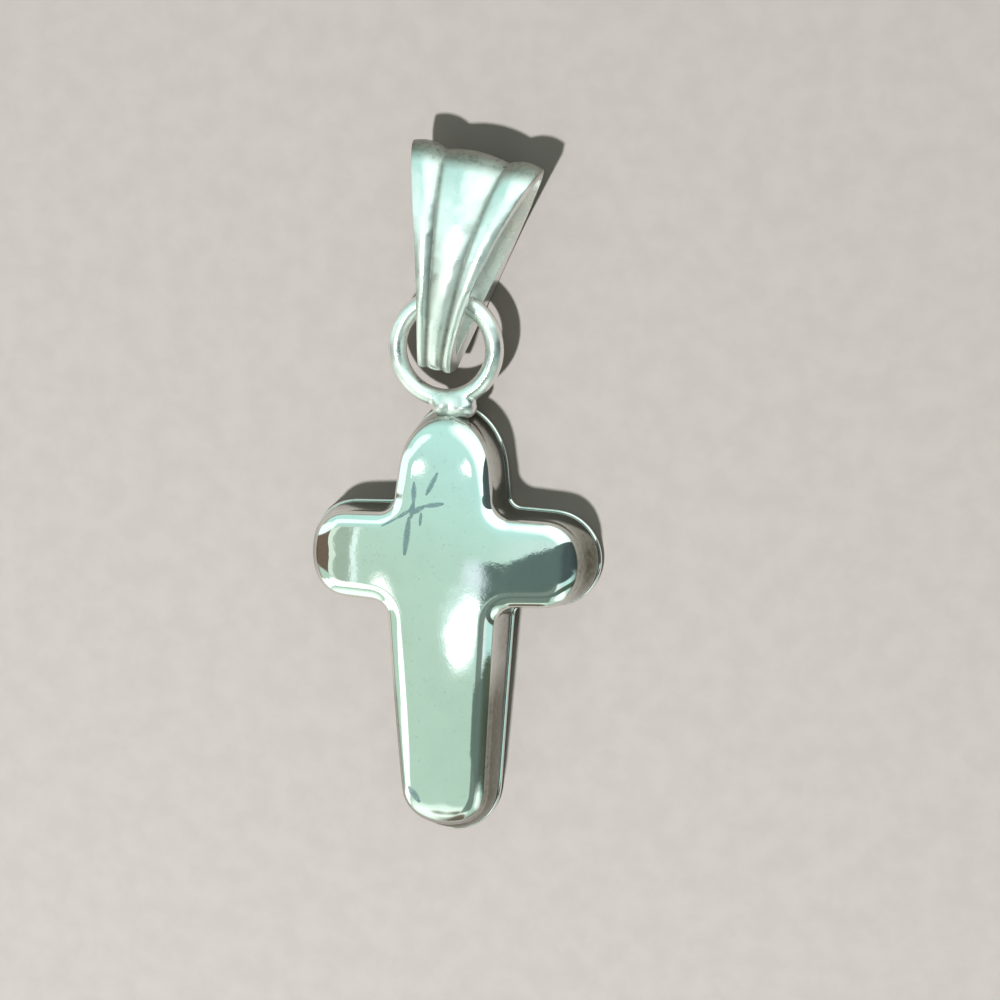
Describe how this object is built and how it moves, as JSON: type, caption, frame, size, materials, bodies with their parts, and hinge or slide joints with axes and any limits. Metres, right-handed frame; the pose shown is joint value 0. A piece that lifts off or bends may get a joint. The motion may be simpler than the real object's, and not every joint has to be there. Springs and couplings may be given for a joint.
{
  "type": "cross pendant",
  "caption": "Puffed cross with a flat back and rounded arm ends, a soldered jump ring and a tapered fluted bail through which a chain passes.",
  "frame": {"origin": "on the flat back of the cross, behind the middle of the crossing", "axes": "+X to the right-hand arm, +Y up the top arm to the bail, +Z out of the face; the pendant lies on its back, on Z = 0"},
  "size_m": [0.012, 0.0278, 0.0032],
  "materials": {
    "polished_silver": "mirror-polished silver with fine wear scratches and a few nicks",
    "fluted_silver": "mirror-polished silver, dulled in the creases"
  },
  "bodies": {
    "root": {"cross": "polished_silver", "bail": "fluted_silver"}
  },
  "joints": []
}
